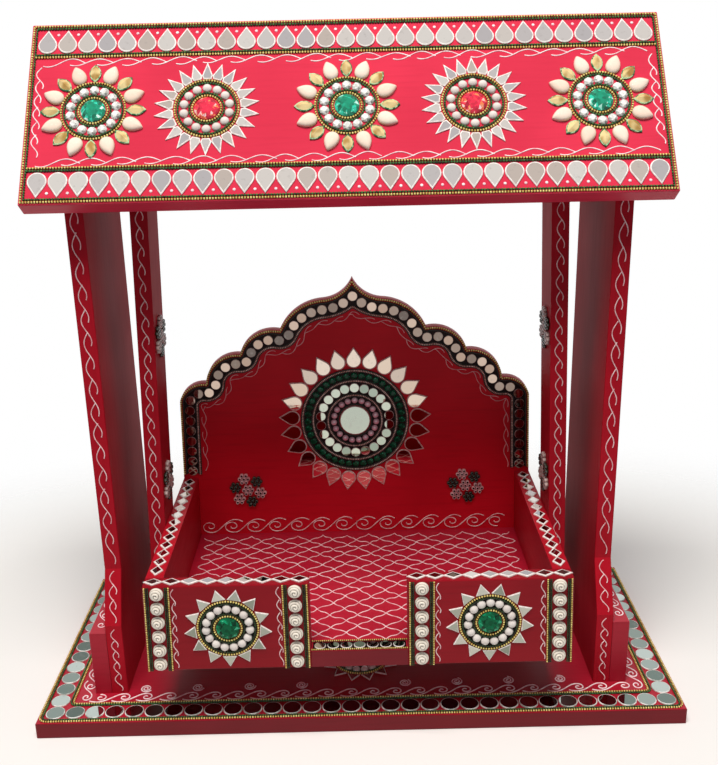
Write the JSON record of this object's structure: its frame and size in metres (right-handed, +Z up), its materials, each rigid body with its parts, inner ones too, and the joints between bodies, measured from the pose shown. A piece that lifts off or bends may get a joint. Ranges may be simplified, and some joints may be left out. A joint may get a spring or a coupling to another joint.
{
  "type": "deity swing",
  "caption": "Free-standing wooden deity swing: a base board, two side pillars and a gable roof carry a cradle seat with a scalloped backrest that hangs from an axle on two wooden arms.",
  "frame": {"origin": "on the floor, at the middle of the base board's underside", "axes": "+Z is up, -Y is towards the viewer of the swing's open front, +X is to that viewer's right and runs along the axle rod"},
  "size_m": [0.457, 0.2171, 0.4742],
  "materials": {
    "red_paint": "gloss deep red paint with thin white painted vines",
    "steel": "zinc plated",
    "mirror_glass": "silvered glass pieces with pale rims",
    "pearl": "ivory pearl lustre",
    "pink_pearl": "mauve pink pearl lustre",
    "gold_petal": "gold coloured, foil backed",
    "green_stone": "faceted, clear emerald green",
    "red_stone": "faceted, clear ruby red",
    "ball_chain": "gold and dark green lacquered beads",
    "bead_flower": "pink, white and dark red beads"
  },
  "bodies": {
    "stand": {"base_board": "red_paint", "left_pillar": "red_paint", "right_pillar": "red_paint", "left_foot_brace": "red_paint", "right_foot_brace": "red_paint", "roof_front_panel": "red_paint", "roof_back_panel": "red_paint", "axle_rod": "steel", "left_spacer_tube": "steel", "right_spacer_tube": "steel", "axle_washers": "steel", "axle_nuts": "steel", "foot_screws": "steel", "roof_pins": "steel", "roof_drop_mirrors": "mirror_glass", "roof_star_mirrors": "mirror_glass", "roof_pearls": "pearl", "roof_pearl_petals": "pearl", "roof_gold_petals": "gold_petal", "roof_green_stones": "green_stone", "roof_red_stones": "red_stone", "roof_ball_chain": "ball_chain", "base_round_mirrors": "mirror_glass", "base_star_mirrors": "mirror_glass", "base_star_pearls": "pearl", "base_star_stone": "green_stone", "base_ball_chain": "ball_chain"},
    "swing": {"seat_board": "red_paint", "left_side_panel": "red_paint", "right_side_panel": "red_paint", "left_front_block": "red_paint", "right_front_block": "red_paint", "backrest": "red_paint", "left_hanger_arm": "red_paint", "right_hanger_arm": "red_paint", "arm_screws": "steel", "cradle_pins": "steel", "cradle_diamond_mirrors": "mirror_glass", "cradle_star_mirrors": "mirror_glass", "sill_mirrors": "mirror_glass", "backrest_edge_mirrors": "mirror_glass", "backrest_rosette_mirrors": "mirror_glass", "backrest_drop_mirrors": "mirror_glass", "cradle_pearls": "pearl", "cradle_rose_beads": "pearl", "backrest_pearls": "pink_pearl", "cradle_stones": "green_stone", "backrest_green_stones": "green_stone", "cradle_ball_chain": "ball_chain", "backrest_ball_chain": "ball_chain", "backrest_bead_flowers": "bead_flower", "arm_bead_flowers": "bead_flower"}
  },
  "joints": [
    {"name": "swing_hinge", "type": "hinge", "parent": "stand", "child": "swing", "pos_m": [0, 0, 0.385], "axis": [1, 0, 0], "range_deg": [-20, 20]}
  ]
}
